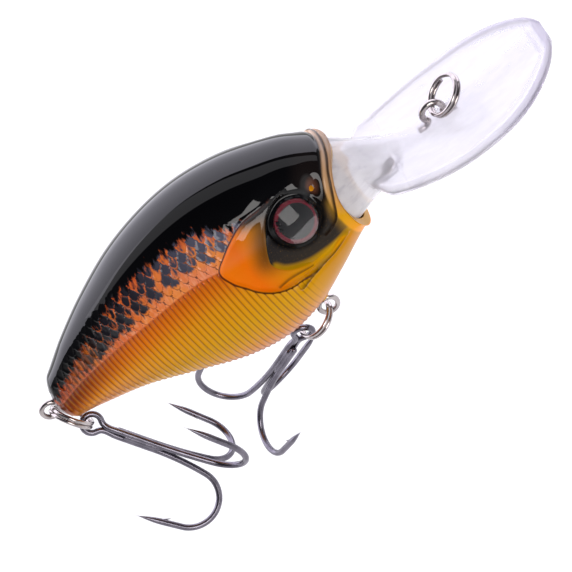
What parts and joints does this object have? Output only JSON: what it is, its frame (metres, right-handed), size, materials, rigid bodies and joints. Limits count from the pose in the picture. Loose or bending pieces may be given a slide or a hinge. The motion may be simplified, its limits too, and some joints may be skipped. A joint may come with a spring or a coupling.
{
  "type": "fishing lure",
  "caption": "Deep-diving fishing lure: hollow two-half body, clear diving lip with a wire line tie, and treble hooks hung on split rings at the belly and tail.",
  "frame": {"origin": "centre of the line-tie wire loop on the lip, where the line ring hangs", "axes": "+X forward along the lip, +Y to the lure's left, +Z towards its back"},
  "size_m": [0.1148, 0.0332, 0.0655],
  "materials": {
    "painted_body": "black back, copper-orange scaled flanks and gold ribbed belly under clear gloss",
    "clear_lip": "clear polycarbonate",
    "nickel_wire": "bright nickel",
    "black_nickel_hook": "black nickel",
    "clear_lens": "clear domed resin",
    "eye_foil": "crimson ring around a dark pupil, printed on foil",
    "steel_weight": "polished steel ball"
  },
  "bodies": {
    "lure": {"body_shell_right": "painted_body", "body_shell_left": "painted_body", "diving_lip": "clear_lip", "line_tie_wire": "nickel_wire", "belly_hanger_wire": "nickel_wire", "tail_hanger_wire": "nickel_wire", "right_eye_lens": "clear_lens", "right_eye_disc": "eye_foil", "left_eye_lens": "clear_lens", "left_eye_disc": "eye_foil", "belly_ballast_weight": "steel_weight"},
    "line_ring": {"line_tie_split_ring": "nickel_wire"},
    "belly_ring": {"belly_split_ring": "nickel_wire"},
    "belly_treble": {"belly_double_hook": "black_nickel_hook", "belly_single_hook": "black_nickel_hook", "belly_hook_braze": "black_nickel_hook"},
    "tail_ring": {"tail_split_ring": "nickel_wire"},
    "tail_treble": {"tail_double_hook": "black_nickel_hook", "tail_single_hook": "black_nickel_hook", "tail_hook_braze": "black_nickel_hook"},
    "ball": {"transfer_ball": "steel_weight"},
    "bead_right": {"rattle_bead_right": "steel_weight"},
    "bead_left": {"rattle_bead_left": "steel_weight"}
  },
  "joints": [
    {"name": "line_ring_swing", "type": "hinge", "parent": "lure", "child": "line_ring", "pos_m": [0, 0, 0], "axis": [0, 1, 0], "range_deg": [-125, 20]},
    {"name": "belly_ring_swing", "type": "hinge", "parent": "lure", "child": "belly_ring", "pos_m": [-0.0368, 0, -0.02395], "axis": [0, 1, 0], "range_deg": [-90, 0]},
    {"name": "belly_treble_swing", "type": "hinge", "parent": "belly_ring", "child": "belly_treble", "pos_m": [-0.04391, 0, -0.02618], "axis": [-0.2537, -0.9389, -0.2325], "range_deg": [-10, 45]},
    {"name": "tail_ring_swing", "type": "hinge", "parent": "lure", "child": "tail_ring", "pos_m": [-0.0884, 0, -0.0069], "axis": [0, 1, 0], "range_deg": [0, 70]},
    {"name": "tail_treble_swing", "type": "hinge", "parent": "tail_ring", "child": "tail_treble", "pos_m": [-0.08432, -0.00212, -0.01345], "axis": [-0.1843, 0.8801, -0.4376], "range_deg": [-20, 40]},
    {"name": "ball_roll", "type": "slide", "parent": "lure", "child": "ball", "axis": [1, 0, 0], "range_m": [0, 0.0175]},
    {"name": "bead_right_roll", "type": "slide", "parent": "lure", "child": "bead_right", "axis": [1, 0, 0], "range_m": [0, 0.006]},
    {"name": "bead_left_roll", "type": "slide", "parent": "lure", "child": "bead_left", "axis": [1, 0, 0], "range_m": [0, 0.006]}
  ]
}
